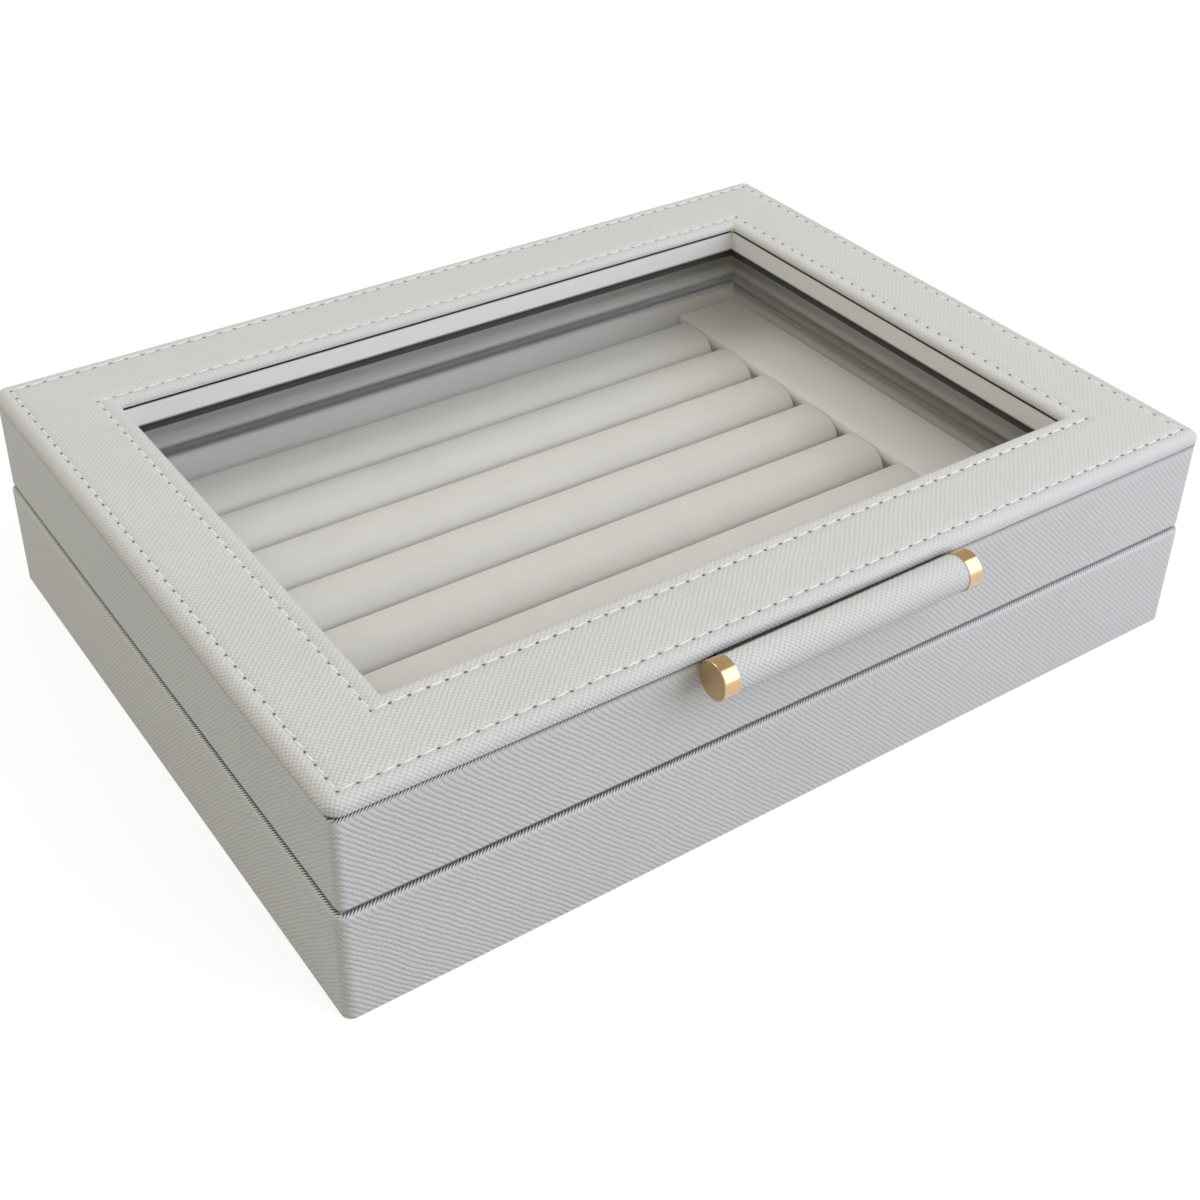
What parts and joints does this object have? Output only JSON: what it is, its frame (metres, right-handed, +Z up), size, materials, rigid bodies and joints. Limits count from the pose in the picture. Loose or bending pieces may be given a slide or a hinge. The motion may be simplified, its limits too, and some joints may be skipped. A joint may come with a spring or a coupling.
{
  "type": "ring display box",
  "caption": "Flat leatherette ring display box with a glazed, padded and stitched lid, velvet ring rolls inside and a leather-wrapped bar pull with gold end caps.",
  "frame": {"origin": "middle of the underside, on the table", "axes": "+X along the long side, to the right seen from the front; -Y towards the front, where the pull is; +Z up, with the lid closed"},
  "size_m": [0.24, 0.193, 0.0575],
  "materials": {
    "leather": "light grey leatherette with a fine slanting rib, satin",
    "board": "raw fibreboard, matte",
    "card": "grey card, matte",
    "velvet": "light warm grey velvet, short pile",
    "felt": "grey felt, matte",
    "foam": "white padding foam, matte",
    "glass": "clear float glass",
    "tape": "dark glazing tape, matte",
    "gold": "polished, rose gold colour",
    "dowel": "raw dowel, matte",
    "hinge_steel": "nickel plated, satin"
  },
  "bodies": {
    "base": {"base_floor_board": "board", "base_front_wall": "board", "base_back_wall": "board", "base_left_wall": "board", "base_right_wall": "board", "base_wrap": "leather", "base_felt_sheet": "felt", "base_front_liner": "velvet", "base_back_liner": "velvet", "base_left_liner": "velvet", "base_right_liner": "velvet", "insert_board": "card", "ring_roll_1": "velvet", "ring_roll_2": "velvet", "ring_roll_3": "velvet", "ring_roll_4": "velvet", "ring_roll_5": "velvet", "ring_roll_6": "velvet", "ring_roll_7": "velvet", "ring_roll_8": "velvet", "insert_end_pad_left": "velvet", "insert_end_pad_right": "velvet", "hinge_left_base_leaf": "hinge_steel", "hinge_left_pin": "hinge_steel", "hinge_right_base_leaf": "hinge_steel", "hinge_right_pin": "hinge_steel", "hinge_screws_base": "hinge_steel"},
    "lid": {"lid_front_wall": "board", "lid_back_wall": "board", "lid_left_wall": "board", "lid_right_wall": "board", "lid_top_board": "board", "lid_wrap": "leather", "window_lip": "leather", "glass_seal": "tape", "glass_pane": "glass", "lid_front_liner": "velvet", "lid_back_liner": "velvet", "lid_left_liner": "velvet", "lid_right_liner": "velvet", "pad_card": "card", "pad_foam_front": "foam", "pad_foam_back": "foam", "pad_foam_left": "foam", "pad_foam_right": "foam", "pad_cover": "leather", "pull_tail": "leather", "hinge_left_lid_leaf": "hinge_steel", "hinge_right_lid_leaf": "hinge_steel", "hinge_screws_lid": "hinge_steel"},
    "pull": {"pull_rod": "dowel", "pull_wrap": "leather", "pull_cap_left": "gold", "pull_cap_right": "gold"}
  },
  "joints": [
    {"name": "lid_hinge", "type": "hinge", "parent": "base", "child": "lid", "pos_m": [0, 0.0919, 0.02915], "axis": [-1, 0, 0], "range_deg": [0, 100]},
    {"name": "pull_flex", "type": "hinge", "parent": "lid", "child": "pull", "pos_m": [0, -0.09015, 0.0544], "axis": [-1, 0, 0], "range_deg": [0, 35]}
  ]
}
